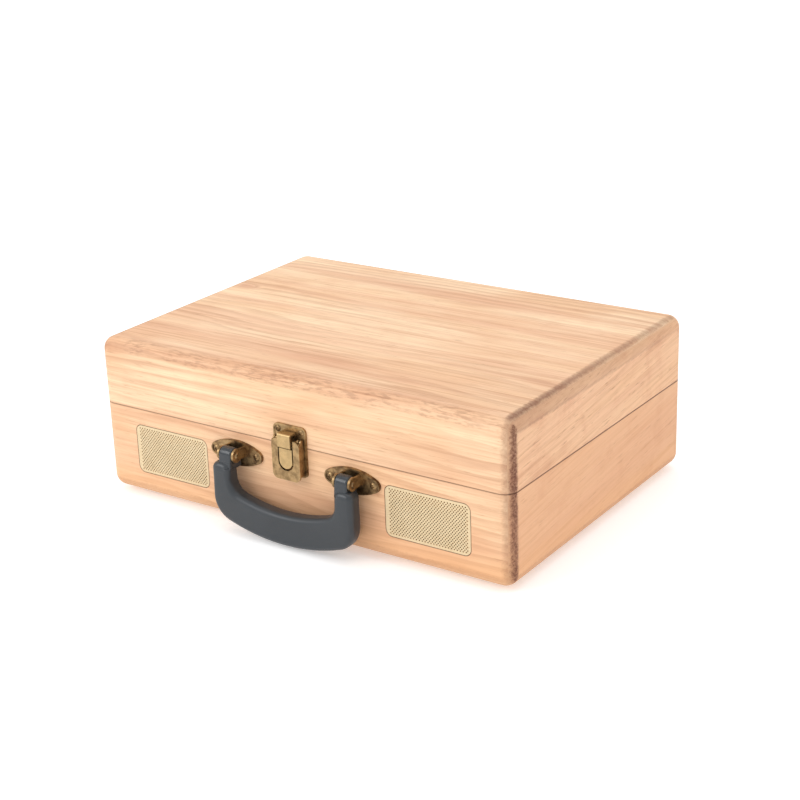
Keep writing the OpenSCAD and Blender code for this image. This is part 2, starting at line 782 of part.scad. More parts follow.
module platter() {
    color(black) translate([spindle_x, spindle_y, 0]) difference() {
        union() {
            translate([0, 0, platter_top - platter_t]) cylinder(r = platter_r, h = platter_t, $fn = 128);
            difference() {
                translate([0, 0, platter_under]) cylinder(r = platter_r, h = platter_h, $fn = 128);
                translate([0, 0, platter_under - 1]) cylinder(r = platter_r - 3.5, h = platter_h, $fn = 128);
            }
            difference() {
                translate([0, 0, platter_under]) cylinder(r = belt_rim_r, h = platter_h - 1, $fn = 128);
                translate([0, 0, platter_under - 1]) cylinder(r = belt_rim_r - 3, h = platter_h, $fn = 128);
            }
            translate([0, 0, platter_under]) cylinder(r = 12, h = platter_h - 1);
        }
        translate([0, 0, platter_under - 1]) cylinder(r = shaft_r + run / 2, h = platter_h + 2);
    }
}

module slip_mat() {
    color(charcoal) translate([spindle_x, spindle_y, platter_top]) difference() {
        cylinder(r = platter_r - 2, h = mat_t, $fn = 128);
        translate([0, 0, -1]) cylinder(r = shaft_r + gap, h = mat_t + 2);
    }
}

module spindle() {
    color(steel) translate([spindle_x, spindle_y, 0]) {
        translate([0, 0, deck_top - 16]) cylinder(r = shaft_r, h = mat_top - deck_top + 16);
        translate([0, 0, mat_top]) cylinder(r = spindle_r, h = spindle_rise - 2);
        translate([0, 0, mat_top + spindle_rise - 2]) cylinder(r1 = spindle_r, r2 = spindle_r - 1.8, h = 2);
        translate([0, 0, bearing_top + 0.1]) cylinder(r = 8.5, h = platter_under - bearing_top - 0.1);
    }
}

module spindle_bearing() {
    color(gold) translate([spindle_x, spindle_y, 0]) difference() {
        union() {
            translate([0, 0, deck_top - 20]) cylinder(r = 6.5, h = bearing_top - deck_top + 20);
            translate([0, 0, deck_top]) cylinder(r = 13, h = bearing_top - deck_top);
        }
        translate([0, 0, deck_top - 16.1]) cylinder(r = shaft_r + run, h = 40);
    }
}

module motor() {
    color(steel) at_motor() difference() {
        union() {
            translate([0, 0, deck_under - 22]) cylinder(r = 15, h = 22);
            translate([0, 0, deck_under]) cylinder(r = 4, h = deck_t);
        }
        translate([0, 0, deck_under - 12]) cylinder(r = 1 + run, h = 30);
    }
}

module motor_pulley() {
    color(gold) at_motor() {
        translate([0, 0, deck_under - 11]) cylinder(r = 1, h = 16);
        translate([0, 0, deck_top + 1]) cylinder(r = pulley_r, h = pulley_top - deck_top - 1);
        for (z = [deck_top + 1, pulley_top - 1]) translate([0, 0, z]) cylinder(r = pulley_r + 1, h = 1);
    }
}

// Outline round two circles and their outer tangents: big at the origin, small at distance l along x
module belt_outline(big, small, l) {
    a = acos((big - small) / l);
    circle(big, $fn = 128);
    translate([l, 0]) circle(small);
    polygon([
        [big * cos(a), big * sin(a)],
        [big * cos(a), -big * sin(a)],
        [l + small * cos(a), -small * sin(a)],
        [l + small * cos(a), small * sin(a)]
    ]);
}

module drive_belt() {
    color(black) translate([spindle_x, spindle_y, belt_z]) rotate(motor_angle) linear_extrude(belt_h)
        difference() {
            belt_outline(belt_rim_r + run + belt_t, pulley_r + run + belt_t, motor_dist);
            belt_outline(belt_rim_r + run, pulley_r + run, motor_dist);
        }
}

module arm_pillar() {
    color(charcoal) translate([arm_x, arm_y, 0]) difference() {
        union() {
            translate([0, 0, deck_top]) cylinder(r = 19, h = 3);
            translate([0, 0, deck_top]) cylinder(r = pillar_r, h = arm_z - 12 - deck_top);
            translate([0, 0, deck_under - 4]) cylinder(r = 5, h = 10);
        }
        translate([0, 0, deck_under - 5]) cylinder(r = 3 + run, h = 60);
    }
}

// Yoke that turns on the pillar and carries the arm between two cheeks
module arm_yoke() {
    inner = arm_r + 1.5 + gap;
    color(charcoal) translate([arm_x, arm_y, 0]) difference() {
        union() {
            translate([0, 0, deck_under - 4]) cylinder(r = 3, h = arm_z - 9 - deck_under + 4);
            translate([0, 0, arm_z - 12 + gap]) cylinder(r = pillar_r, h = 4);
            for (s = [-1, 1]) translate([s * (inner + 1), 0, 0]) along_x(2) {
                translate([0, arm_z]) circle(4);
                translate([-4, arm_z - 9]) square([8, 9]);
            }
        }
        translate([0, 0, arm_z]) rotate([0, 90, 0]) cylinder(r = 1.2 + run, h = 40, center = true);
    }
}

module arm_pin() {
    color(steel) translate([arm_x, arm_y, arm_z]) rotate([0, 90, 0])
        cylinder(r = 1.2, h = 2 * (arm_r + 3.5 + gap), center = true);
}

// Arm tube with its pivot block
module tonearm() {
    color(steel) translate([arm_x, arm_y, arm_z]) difference() {
        union() {
            translate([0, 8, 0]) rotate([90, 0, 0]) cylinder(r = arm_r, h = arm_len - 8);
            cube([2 * arm_r + 3, 9, 9], center = true);
            translate([0, 30, 0]) rotate([90, 0, 0]) cylinder(r = 2.2, h = 30);
        }
        rotate([0, 90, 0]) cylinder(r = 1.2 + run, h = 40, center = true);
    }
}

module counterweight() {
    color(black) translate([arm_x, arm_y + 27, arm_z]) rotate([90, 0, 0]) difference() {
        cylinder(r = weight_r, h = 15);
        translate([0, 0, -1]) cylinder(r = 2.2 + run, h = 17);
    }
}

// Places children at the stylus tip, turned by the headshell's offset angle
module at_head() {
    translate([arm_x, arm_y - arm_len, 0]) rotate(-head_angle) children();
}

module headshell() {
    color(charcoal) at_head() difference() {
        union() {
            translate([0, 5, arm_z - 3]) linear_extrude(3) rounded_rect(15, 27, 3);
            translate([0, 13, arm_z]) rotate([90, 0, 0]) cylinder(r = 5.5, h = 10, center = true);
            translate([10, 0, arm_z - 2.4]) linear_extrude(1.6) rounded_rect(9, 3, 1.4);
        }
        rotate(head_angle) translate([0, arm_len / 2 + 7, arm_z]) rotate([90, 0, 0])
            cylinder(r = arm_r + run, h = arm_len, center = true);
    }
}

module cartridge() {
    color(black) at_head() {
        translate([0, 0.5, (arm_z - 3 + tip_z + 2.6) / 2]) cube([11, 14, arm_z - 3 - tip_z - 2.6], center = true);
    }
}

module stylus() {
    color("firebrick") at_head() {
        translate([0, 0, tip_z + 1.9]) cube([6, 9, 1.4], center = true);
        translate([0, 0, tip_z]) cylinder(r1 = 0.15, r2 = 0.5, h = 1.4);
    }
}

module arm_rest() {
    y = arm_y - arm_len * 0.62;
    top = arm_z - arm_r - gap;
    color(charcoal) translate([arm_x, y, 0]) {
        translate([0, 0, deck_top]) cylinder(r = 9, h = 2);
        translate([0, 0, deck_top]) cylinder(r = 4, h = top - 3 - deck_top);
        translate([1.5, 0, top - 1.5]) cube([13, 8, 3], center = true);
        translate([arm_r + gap + 1.6, 0, top + 2]) cube([2.4, 8, 7], center = true);
    }
}

cue_axis_z = deck_top + 7;
module cue_post() {
    color(charcoal) translate([cue_x, cue_y, 0]) difference() {
        union() {
            translate([0, 0, deck_top]) linear_extrude(2) rounded_rect(16, 14, 2);
            for (s = [-1, 1]) translate([s * 5, 0, 0]) along_x(2) {
                translate([0, cue_axis_z]) circle(3.5);
                translate([-3.5, deck_top]) square([7, 7]);
            }
        }
        translate([0, 0, cue_axis_z]) rotate([0, 90, 0]) cylinder(r = 1.5 + run, h = 40, center = true);
    }
}

// Lever that raises the arm, with its own short axle
module cue_lever() {
    color(steel) translate([cue_x, cue_y, cue_axis_z]) {
        rotate([0, 90, 0]) cylinder(r = 1.5, h = 13, center = true);
        rotate([0, 90, 0]) cylinder(r = 3, h = 8 - 2 * gap, center = true);
        rotate([90, 0, 0]) cylinder(r = 1.5, h = 24);
        translate([0, -24, 0]) sphere(3.2);
    }
}

// Pad that the cue lever raises under the arm
module cue_platform() {
    color(charcoal) translate([arm_x, plat_y, 0]) {
        translate([0, 0, deck_under - 5]) cylinder(r = 3, h = arm_z - arm_r - 4 - deck_under + 5 - 1.5);
        translate([-4, 0, arm_z - arm_r - 6]) cube([24, 6, 2.4], center = true);
    }
}

module slider(y, from) {
    color(steel) translate([slider_x, y + from, 0]) {
        translate([0, 0, deck_under - 3]) linear_extrude(deck_t + 3.5) square([2.8, 5], center = true);
        translate([0, 0, deck_top + 0.3]) linear_extrude(4.5) rounded_rect(7, 7, 1.2);
        translate([0, 0, deck_under - 5]) linear_extrude(2) square([10, 9], center = true);
    }
}
module speed_slider() { slider(speed_y, -8); }
module stop_slider() { slider(stop_y, -4); }

module volume_knob() {
    color(steel) translate([knob_x, knob_y, 0]) difference() {
        union() {
            translate([0, 0, deck_top + 0.8]) cylinder(r = 11, h = 10);
            translate([0, 0, deck_top + 10.8]) cylinder(r1 = 11, r2 = 10, h = 1);
        }
        translate([0, -8, deck_top + 11]) cube([1.4, 7, 2], center = true);
        translate([0, 0, deck_top]) cylinder(r = 3 + 0.02, h = 9);
        for (a = [0 : 15 : 345]) rotate(a) translate([11.3, 0, deck_top]) cylinder(r = 0.7, h = 10, $fn = 16);
    }
    color(steel) translate([knob_x, knob_y, deck_under - 4]) cylinder(r = 3, h = deck_t + 13);
}

module volume_control() {
    color(steel) translate([knob_x, knob_y, 0]) difference() {
        union() {
            translate([0, 0, deck_under - 9]) cylinder(r = 8, h = 9);
            translate([0, 0, deck_under]) cylinder(r = 3.5, h = deck_t);
        }
        translate([0, 0, deck_under - 4.1]) cylinder(r = 3 + run, h = 20);
    }
}

module headphone_jack() {
    color(black) translate([jack_x, jack_y, 0]) difference() {
        union() {
            translate([0, 0, deck_under - 14]) linear_extrude(14) rounded_rect(12, 12, 1);
            translate([0, 0, deck_under]) cylinder(r = 4, h = deck_t + 1.5);
            translate([0, 0, deck_top]) cylinder(r = 5.5, h = 1);
        }
        translate([0, 0, deck_under - 12]) cylinder(r = 1.8, h = 40);
    }
}

module adapter_45() {
    color(gold) translate([adapter_x, adapter_y, deck_top]) difference() {
        union() {
            cylinder(r = 19, h = 3);
            cylinder(r = 16, h = 4.5);
        }
        translate([0, 0, -1]) cylinder(r = spindle_r + run, h = 8);
    }
}

module jack_panel() {
    color(black) translate([0, 0, panel_z]) difference() {
        on_back(-1.5, 1.5) rounded_rect(panel_w, panel_h, 3);
        for (x = [-30, -14]) translate([x, back - 3, 0]) rotate([-90, 0, 0]) cylinder(r = 4 + run, h = 5);
        translate([28, back - 3, 0]) rotate([-90, 0, 0]) cylinder(r = 4.5 + run, h = 5);
    }
}

module audio_jacks() {
    color(gold) for (x = [-30, -14]) translate([x, back, panel_z]) rotate([-90, 0, 0]) difference() {
        union() {
            translate([0, 0, -11]) cylinder(r = 4, h = 17);
            translate([0, 0, -11]) cylinder(r = 5.5, h = 9.4);
        }
        translate([0, 0, -6]) cylinder(r = 1.6, h = 20);
    }
}

module power_inlet() {
    color(black) translate([28, back, panel_z]) rotate([-90, 0, 0]) difference() {
        union() {
            translate([0, 0, -14]) cylinder(r = 4.5, h = 14.6);
            translate([0, 0, -14]) cylinder(r = 6, h = 12.4);
        }
        difference() {
            translate([0, 0, -11]) cylinder(r = 2.8, h = 20);
            translate([0, 0, -12]) cylinder(r = 1.05, h = 11);
        }
    }
}

module circuit_board() {
    z = under + floor_t;
    y = in_d / 2 - 48;
    color("darkgreen") {
        translate([10, y, z + 8.8]) cube([110, 56, 1.6], center = true);
        for (x = [-1, 1], s = [-1, 1]) translate([10 + x * 49, y + s * 22, z]) cylinder(r = 3, h = 8.2);
    }
    color(black) {
        translate([-12, y, z + 12]) cube([22, 14, 5], center = true);
        for (i = [0 : 3]) translate([14 + 13 * i, y + 12, z + 9]) cylinder(r = 4, h = 11);
        for (i = [0 : 2]) translate([16 + 15 * i, y - 14, z + 11]) cube([9, 9, 6], center = true);
    }
}

module lid_bumpers() {
    color(black) for (x = [-1, 1]) translate([x * (in_w / 2 + wall / 2), front + wall / 2, base_top])
        cylinder(r = 3, h = seam);
}

base_case();
lid_case();
feet();
foot_screws();
hinge_base_leaves();
hinge_lid_leaves();
hinge_pins();
hinge_base_screws();
hinge_lid_screws();
latch_keeper();
keeper_screws();
latch_plate();
plate_screws();
latch_lever();
lever_pin();
latch_link();
link_pin();
handle();
bracket_left();
bracket_right();
handle_pins();
bracket_screws();
grille_left();
grille_right();
speaker_left();
speaker_right();
deck();
deck_battens();
deck_screws();
platter();
slip_mat();
spindle();
spindle_bearing();
motor();
motor_pulley();
drive_belt();
arm_pillar();
arm_yoke();
arm_pin();
tonearm();
counterweight();
headshell();
cartridge();
stylus();
arm_rest();
cue_lever();
cue_platform();
cue_post();
speed_slider();
stop_slider();
volume_knob();
volume_control();
headphone_jack();
adapter_45();
jack_panel();
audio_jacks();
power_inlet();
circuit_board();
lid_bumpers();
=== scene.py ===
"""Looks for the suitcase record player: camera, studio, materials and the moulded handle."""

import json
import math

import bmesh
import bpy
from mathutils import Matrix, Vector


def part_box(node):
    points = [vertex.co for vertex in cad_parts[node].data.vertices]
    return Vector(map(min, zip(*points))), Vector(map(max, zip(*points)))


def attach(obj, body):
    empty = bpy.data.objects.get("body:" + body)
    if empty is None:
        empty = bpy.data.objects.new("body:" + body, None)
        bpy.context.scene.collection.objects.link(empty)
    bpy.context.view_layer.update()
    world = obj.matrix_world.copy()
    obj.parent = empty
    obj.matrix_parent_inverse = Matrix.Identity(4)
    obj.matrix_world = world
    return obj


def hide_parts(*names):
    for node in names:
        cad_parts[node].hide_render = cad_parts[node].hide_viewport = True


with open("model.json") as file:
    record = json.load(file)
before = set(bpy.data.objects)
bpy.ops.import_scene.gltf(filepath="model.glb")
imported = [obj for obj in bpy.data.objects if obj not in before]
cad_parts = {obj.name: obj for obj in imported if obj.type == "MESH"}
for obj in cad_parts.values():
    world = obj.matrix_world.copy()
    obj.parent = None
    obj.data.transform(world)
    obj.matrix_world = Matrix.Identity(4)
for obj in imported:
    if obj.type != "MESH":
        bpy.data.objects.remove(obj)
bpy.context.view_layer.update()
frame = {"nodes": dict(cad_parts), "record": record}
NODES = frame["nodes"]
MM = 0.001


# ---------------------------------------------------------------- camera and studio

CASE_LO, CASE_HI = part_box("base_case")
LID_LO, LID_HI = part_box("lid_case")
CASE_W = CASE_HI[0] - CASE_LO[0]
CASE_D = CASE_HI[1] - CASE_LO[1]
CASE_MID = Vector((0, 0, (CASE_LO[2] + LID_HI[2]) / 2))
SPLIT = (CASE_HI[2] + LID_LO[2]) / 2
EDGE_R = 9.5 * MM
GRILLE_R = 5 * MM
KNOT = (CASE_LO[0] + 17 * MM, 26 * MM)

HANDLE_LO, HANDLE_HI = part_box("handle")
GRIP_H = 24 * MM
GRIP_T = 12.6 * MM
GRIP_SOFT = 4.4 * MM
GRIP_BOW = 148 * MM
GRIP_OFFSET = 2.5 * MM
ARM_W = 15.4 * MM
CORNER_R = 18 * MM
HOLLOW_R = 12 * MM
SHOULDER_DROP = 6.6 * MM
SHOULDER_R = 4.5 * MM
LUG_R = 5.6 * MM
LUG_W = 10.4 * MM
LUG_X = 50 * MM
HANDLE_PIN_R = 1.66 * MM
LUG_EDGE = 1.3 * MM
LUG_AROUND = 72
LUG_STEPS = 6
BOW_STEPS = 22
CORNER_STEPS = 14
ARM_STEPS = 8
SHOULDER_STEPS = 8

VIEW_AZIMUTH = math.radians(34.77)
VIEW_ELEVATION = math.radians(20.90)
VIEW_ROLL = math.radians(-2.02)
VIEW_DISTANCE = 1.277
VIEW_LENS = 76.95
VIEW_RIGHT = 4.2 * MM

SKY_STRENGTH = 0.95
KEY_POWER = 22
TOP_POWER = 9
FILL_POWER = 2
FLOOR_TONE = 0.86
FLOOR_GLOW = 0.32

SOFT_NODES = (
    "latch_keeper",
    "latch_plate",
    "latch_lever",
    "latch_link",
    "bracket_left",
    "bracket_right",
)
SOFT_EDGE = 0.35 * MM
BEVEL_STEPS = 3
BEVEL_ANGLE = math.radians(35)


def make_camera():
    a, e, roll = VIEW_AZIMUTH, VIEW_ELEVATION, VIEW_ROLL
    back = Vector((math.sin(a) * math.cos(e), -math.cos(a) * math.cos(e), math.sin(e)))
    right = Vector((math.cos(a), math.sin(a), 0))
    up = back.cross(right)
    x = right * math.cos(roll) + up * math.sin(roll)
    y = up * math.cos(roll) - right * math.sin(roll)
    turn = Matrix((x, y, back)).transposed().to_4x4()
    data = bpy.data.cameras.new("camera")
    data.lens = VIEW_LENS
    data.sensor_width = 36
    data.clip_start = 0.05
    data.clip_end = 50
    cam = bpy.data.objects.new("camera", data)
    bpy.context.collection.objects.link(cam)
    place = CASE_MID + back * VIEW_DISTANCE + right * VIEW_RIGHT
    cam.matrix_world = Matrix.Translation(place) @ turn
    bpy.context.scene.camera = cam


def area_light(name, place, target, size, power):
    data = bpy.data.lights.new(name, "AREA")
    data.shape = "RECTANGLE"
    data.size, data.size_y = size
    data.energy = power
    lamp = bpy.data.objects.new(name, data)
    bpy.context.collection.objects.link(lamp)
    lamp.location = place
    lamp.rotation_mode = "QUATERNION"
    lamp.rotation_quaternion = (Vector(target) - Vector(place)).to_track_quat("-Z", "Y")


def make_studio():
    scene = bpy.context.scene
    scene.view_settings.view_transform = "Standard"
    scene.view_settings.look = "None"
    world = bpy.data.worlds.new("studio")
    scene.world = world
    world.use_nodes = True
    sky = world.node_tree.nodes["Background"]
    sky.inputs["Color"].default_value = (1, 1, 1, 1)
    sky.inputs["Strength"].default_value = SKY_STRENGTH
    area_light("key", (-1.3, -1.9, 1.5), (0, 0, 0.05), (1.6, 1.2), KEY_POWER)
    area_light("top", (0.1, 0.2, 2.2), (0, 0, 0), (2.4, 2.0), TOP_POWER)
    area_light("fill", (2.4, -0.6, 0.9), (0, 0, 0.05), (1.2, 1.2), FILL_POWER)
    bpy.ops.mesh.primitive_plane_add(size=40, location=(0, 0, 0))
    floor = bpy.context.object
    floor.name = "floor"
    mat = bpy.data.materials.new("floor")
    mat.use_nodes = True
    shader = mat.node_tree.nodes["Principled BSDF"]
    shader.inputs["Base Color"].default_value = (FLOOR_TONE, FLOOR_TONE, FLOOR_TONE, 1)
    shader.inputs["Emission Color"].default_value = (1, 1, 1, 1)
    shader.inputs["Emission Strength"].default_value = FLOOR_GLOW
    shader.inputs["Roughness"].default_value = 0.9
    shader.inputs["Specular IOR Level"].default_value = 0.1
    floor.data.materials.append(mat)


# ---------------------------------------------------------------- node helpers


class Graph:
    """A material's node tree, with short calls for its nodes. Values are sockets or numbers."""

    def __init__(self, name):
        self.material = bpy.data.materials.new(name)
        self.material.use_nodes = True
        self.tree = self.material.node_tree
        self.shader = self.tree.nodes["Principled BSDF"]
        self.coords = self.tree.nodes.new("ShaderNodeTexCoord")

    def put(self, value, socket):
        if isinstance(value, bpy.types.NodeSocket):
            self.tree.links.new(value, socket)
        elif isinstance(value, tuple):
            socket.default_value = (*value, 1)
        else:
            socket.default_value = value

    def math(self, operation, a, b=0.0):
        node = self.tree.nodes.new("ShaderNodeMath")
        node.operation = operation
        self.put(a, node.inputs[0])
        self.put(b, node.inputs[1])
        return node.outputs[0]

    def add(self, a, b):
        return self.math("ADD", a, b)

    def sub(self, a, b):
        return self.math("SUBTRACT", a, b)

    def mul(self, a, b):
        return self.math("MULTIPLY", a, b)

    def size(self, a):
        return self.math("ABSOLUTE", a)

    def most(self, a, b):
        return self.math("MAXIMUM", a, b)

    def least(self, a, b):
        return self.math("MINIMUM", a, b)

    def length(self, a, b):
        """How far the point (a, b) is from zero."""
        return self.math("SQRT", self.add(self.mul(a, a), self.mul(b, b)))

    def step(self, value, low, high, smooth=True):
        """0 below low, 1 above high; the other way round if low is above high."""
        node = self.tree.nodes.new("ShaderNodeMapRange")
        node.interpolation_type = "SMOOTHSTEP" if smooth else "LINEAR"
        top, bottom = (1.0, 0.0) if low < high else (0.0, 1.0)
        self.put(value, node.inputs["Value"])
        self.put(min(low, high), node.inputs["From Min"])
        self.put(max(low, high), node.inputs["From Max"])
        self.put(bottom, node.inputs["To Min"])
        self.put(top, node.inputs["To Max"])
        return node.outputs[0]

    def split(self, vector):
        node = self.tree.nodes.new("ShaderNodeSeparateXYZ")
        self.put(vector, node.inputs[0])
        return node.outputs[0], node.outputs[1], node.outputs[2]

    def join(self, x, y, z):
        node = self.tree.nodes.new("ShaderNodeCombineXYZ")
        for value, socket in zip((x, y, z), node.inputs):
            self.put(value, socket)
        return node.outputs[0]

    def mix(self, factor, a, b):
        node = self.tree.nodes.new("ShaderNodeMix")
        node.data_type = "RGBA"
        self.put(factor, node.inputs["Factor"])
        self.put(a, node.inputs[6])
        self.put(b, node.inputs[7])
        return node.outputs[2]

    def noise(self, vector, scale, detail=3.0, rough=0.5):
        node = self.tree.nodes.new("ShaderNodeTexNoise")
        self.put(vector, node.inputs["Vector"])
        node.inputs["Scale"].default_value = scale
        node.inputs["Detail"].default_value = detail
        node.inputs["Roughness"].default_value = rough
        return node.outputs["Fac"]

    def voronoi(self, vector, scale, feature="F1"):
        node = self.tree.nodes.new("ShaderNodeTexVoronoi")
        node.feature = feature
        self.put(vector, node.inputs["Vector"])
        node.inputs["Scale"].default_value = scale
        return node.outputs["Distance"]

    def bump(self, height, strength, distance):
        node = self.tree.nodes.new("ShaderNodeBump")
        self.put(height, node.inputs["Height"])
        node.inputs["Strength"].default_value = strength
        node.inputs["Distance"].default_value = distance
        self.put(node.outputs[0], self.shader.inputs["Normal"])

    def finish(self, colour, rough, **fixed):
        self.put(colour, self.shader.inputs["Base Color"])
        self.put(rough, self.shader.inputs["Roughness"])
        for name, value in fixed.items():
            self.put(value, self.shader.inputs[name.replace("_", " ")])
        return self.material


def srgb(r, g, b):
    """A colour given as 0 to 255 values, as linear numbers."""

    def linear(c):
        return c / 255 / 12.92 if c <= 10 else ((c / 255 + 0.055) / 1.055) ** 2.4

    return tuple(linear(c) for c in (r, g, b))


# ---------------------------------------------------------------- materials


PINE_LIGHT = srgb(246, 214, 176)
PINE_HONEY = srgb(230, 184, 140)
PINE_ROSY = srgb(210, 156, 120)
PINE_BROWN = srgb(168, 116, 84)
PINE_SIDE_SHADED = srgb(226, 176, 134)
PINE_BAND = srgb(224, 174, 138)
PINE_FLECK = srgb(142, 92, 62)
# side walls: painted shade, darker than the front and top
PINE_KNOT = srgb(196, 138, 108)
PINE_BASE = srgb(214, 158, 116)
PINE_LOW = srgb(228, 172, 118)
EDGE_STAIN = srgb(104, 58, 38)
# painted shade for the seam and for the gaps round the grilles
SEAM_SHADE = srgb(92, 50, 28)
GRILLE_GAP_SHADE = srgb(92, 62, 40)

GRAIN_COS, GRAIN_SIN = 0.995, 0.10  # the grain leans on the two side walls
BOARD_SHIFT = 0.41  # the lid's boards are cut from another place than the base's
HEART_Y, HEART_Z = 0.31, 0.23  # from the boards to the tree's heart
RINGS_PER_M = 150.0
GAP_FAR, GAP_NEAR = 0.0008, 0.0003  # painted shade in a gap fades out between these distances


def pine():
    """Light pine: bands, rings and streaks along the grain, a knot, and stained rounded edges."""
    g = Graph("pine")
    front_y, top_z, low_z = -CASE_D / 2, LID_HI[2], CASE_LO[2]
    place = g.coords.outputs["Object"]
    x, y, z = g.split(place)
    nx, _, _ = g.split(g.coords.outputs["Normal"])
    end = g.step(g.size(nx), 0.62, 0.80)
    face = g.sub(1.0, end)
    front = g.step(y, front_y + EDGE_R, front_y + 0.3 * EDGE_R)
    shell = g.step(z, SPLIT - 0.0001, SPLIT + 0.0001)
    leaning_y = g.add(g.mul(y, GRAIN_COS), g.mul(z, GRAIN_SIN))
    leaning_z = g.sub(g.mul(z, GRAIN_COS), g.mul(y, GRAIN_SIN))
    along = g.add(g.mul(x, face), g.mul(leaning_y, end))
    along = g.add(along, g.mul(shell, BOARD_SHIFT))
    across = g.add(g.mul(y, face), g.mul(x, end))
    rise = g.add(g.mul(z, face), g.mul(leaning_z, end))

    def fibres(per_along, per_across, detail=3.0, rough=0.55):
        """Noise drawn out along the grain, with so many cells to the metre each way."""
        wide = g.mul(across, per_across)
        high = g.mul(rise, per_across)
        return g.noise(g.join(g.mul(along, per_along), wide, high), 1.0, detail, rough)

    # growth rings round the heart, broken up along the grain
    slow = g.mul(g.sub(fibres(2.4, 8.0, 2.0), 0.5), 0.05)
    quick = g.mul(g.sub(fibres(11.0, 34.0, 2.0), 0.5), 0.005)
    drift = g.add(slow, quick)
    ring_y = g.add(g.add(across, HEART_Y), drift)
    ring_z = g.add(g.add(rise, HEART_Z), g.mul(drift, 0.8))
    knot_x, knot_y = g.sub(x, KNOT[0]), g.sub(y, KNOT[1])
    oval = g.add(g.mul(g.mul(knot_x, knot_x), 0.20), g.mul(knot_y, knot_y))
    knot = g.step(g.math("SQRT", oval), 0.0085, 0.001)
    knot = g.mul(knot, g.step(z, top_z - 0.012, top_z - 0.006))
    rings = g.add(g.mul(g.length(ring_y, ring_z), RINGS_PER_M), g.mul(knot, 1.6))
    ring = g.math("FRACT", rings)
    late = g.mul(g.step(ring, 0.20, 0.88), g.step(ring, 1.0, 0.92))
    late = g.mul(late, g.step(fibres(3.5, 26.0, 2.0), 0.36, 0.66))
    late = g.mul(late, g.sub(1.0, g.mul(end, 0.65)))

    # tone bands and clouds, then streaks and flecks from wide to fine
    band = g.step(fibres(2.6, 52.0, 2.0), 0.38, 0.66)
    cloud = g.step(fibres(7.0, 18.0, 3.0), 0.38, 0.66)
    blush = g.step(fibres(5.0, 30.0, 3.0, 0.6), 0.46, 0.70)
    streak = g.step(fibres(9.0, 430.0, 3.0, 0.62), 0.44, 0.72)
    fine = g.step(fibres(24.0, 1150.0, 3.0, 0.62), 0.42, 0.74)
    fleck = g.step(fibres(75.0, 900.0, 2.0, 0.5), 0.62, 0.74)
    stained_front = g.step(y, -0.020, front_y + 0.012)
    stained_front = g.mul(stained_front, g.step(z, top_z - 0.010, top_z - 0.003))
    blush = g.mul(blush, g.add(0.36, g.mul(stained_front, 0.40)))
    blush = g.add(blush, g.mul(stained_front, 0.22))
    blotch = g.step(g.noise(place, 42.0, 4.0, 0.62), 0.46, 0.70)
    blotch = g.mul(blotch, g.add(0.16, g.mul(end, 0.40)))
    low = g.step(z, low_z + 0.030, low_z + 0.004)
    low = g.mul(low, g.sub(1.0, g.mul(end, 0.3)))
    base_tone = g.mul(g.sub(1.0, shell), g.add(0.22, g.mul(end, 0.26)))

    colour = g.mix(g.mul(cloud, 0.75), PINE_LIGHT, PINE_HONEY)
    # the side walls get painted shade, darker than the front and top
    colour = g.mix(g.mul(end, 0.72), colour, PINE_SIDE_SHADED)
    colour = g.mix(g.mul(band, 0.60), colour, PINE_BAND)
    colour = g.mix(g.most(blush, blotch), colour, PINE_ROSY)
    colour = g.mix(g.mul(late, 0.34), colour, PINE_BROWN)
    colour = g.mix(g.mul(streak, g.add(0.25, g.mul(stained_front, 0.16))), colour, PINE_BROWN)
    colour = g.mix(g.mul(fine, 0.26), colour, PINE_BROWN)
    colour = g.mix(g.mul(fleck, g.add(0.28, g.mul(end, 0.16))), colour, PINE_FLECK)
    colour = g.mix(g.mul(knot, 0.55), colour, PINE_KNOT)
    colour = g.mix(base_tone, colour, PINE_BASE)
    colour = g.mix(g.mul(low, 0.42), colour, PINE_LOW)
    colour = g.mix(edge_stain(g, place, x, y, z, fibres), colour, EDGE_STAIN)

    # painted shade in the gaps: along the seam, and round the two grilles
    seam_shade = g.step(g.size(g.sub(z, SPLIT)), GAP_FAR, GAP_NEAR)
    colour = g.mix(g.mul(seam_shade, g.add(0.42, g.mul(end, 0.36))), colour, SEAM_SHADE)
    colour = g.mix(g.mul(g.mul(grille_gap_shade(g, x, z), front), 0.80), colour, GRILLE_GAP_SHADE)
    pores = g.add(g.mul(fleck, 0.5), g.mul(g.add(streak, fine), 0.3))
    g.bump(g.sub(g.sub(1.0, g.mul(late, 0.5)), pores), 0.20, 0.0003)
    return g.finish(colour, g.add(0.50, g.mul(streak, 0.14)), Specular_IOR_Level=0.35)


